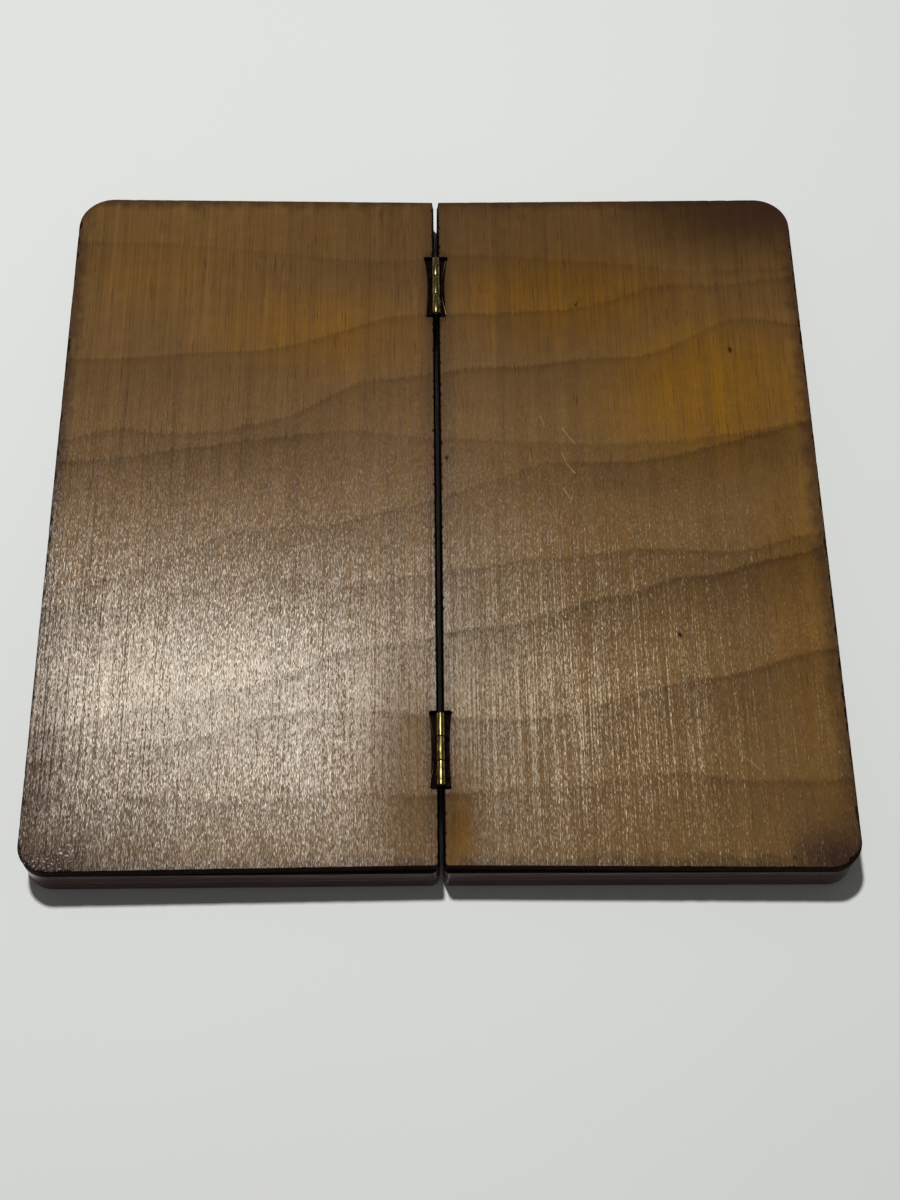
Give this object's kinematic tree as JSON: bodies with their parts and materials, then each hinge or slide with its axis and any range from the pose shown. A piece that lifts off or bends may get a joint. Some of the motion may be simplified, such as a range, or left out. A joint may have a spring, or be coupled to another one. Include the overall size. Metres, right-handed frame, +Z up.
{
  "type": "folding chessboard",
  "caption": "Folding travel chessboard: laminated wooden leaves with a stained face, inlaid squares underneath and small brass hinges, opened flat.",
  "frame": {"origin": "on the table, under the middle of the opened board", "axes": "+X across the fold to the right leaf, +Y along the fold to the far end, +Z up out of the stained face"},
  "size_m": [0.1774, 0.176, 0.0131],
  "materials": {
    "stained_veneer": "brown wash stain under satin lacquer, straight grain along the fold",
    "burnt_edge": "scorched, rough, nearly black edge",
    "lacquered_edge": "dark brown stain, satin lacquer",
    "light_veneer": "pale veneer, satin lacquer",
    "dark_veneer": "dark brown veneer, satin lacquer",
    "aged_brass": "aged, olive brown, worn bright on the knuckles",
    "steel_pin": "drawn wire",
    "steel_nail": "plain",
    "magnet_plating": "nickel plated"
  },
  "bodies": {
    "left_leaf": {"left_playing_panel": "lacquered_edge", "left_light_squares": "light_veneer", "left_dark_squares": "dark_veneer", "left_core_panel": "lacquered_edge", "left_face_panel": "burnt_edge", "left_face_veneer": "stained_veneer", "left_closure_magnets": "magnet_plating", "far_hinge_left_plate": "aged_brass", "far_hinge_left_nails": "steel_nail", "near_hinge_left_plate": "aged_brass", "near_hinge_left_nails": "steel_nail", "far_hinge_pin": "steel_pin"},
    "right_leaf": {"right_playing_panel": "lacquered_edge", "right_light_squares": "light_veneer", "right_dark_squares": "dark_veneer", "right_core_panel": "lacquered_edge", "right_face_panel": "burnt_edge", "right_face_veneer": "stained_veneer", "right_closure_magnets": "magnet_plating", "far_hinge_right_plate": "aged_brass", "far_hinge_right_nails": "steel_nail", "near_hinge_right_plate": "aged_brass", "near_hinge_right_nails": "steel_nail", "near_hinge_pin": "steel_pin"}
  },
  "joints": [
    {"name": "fold", "type": "hinge", "parent": "left_leaf", "child": "right_leaf", "pos_m": [0, 0, 0.0121], "axis": [0, -1, 0], "range_deg": [0, 180]}
  ]
}
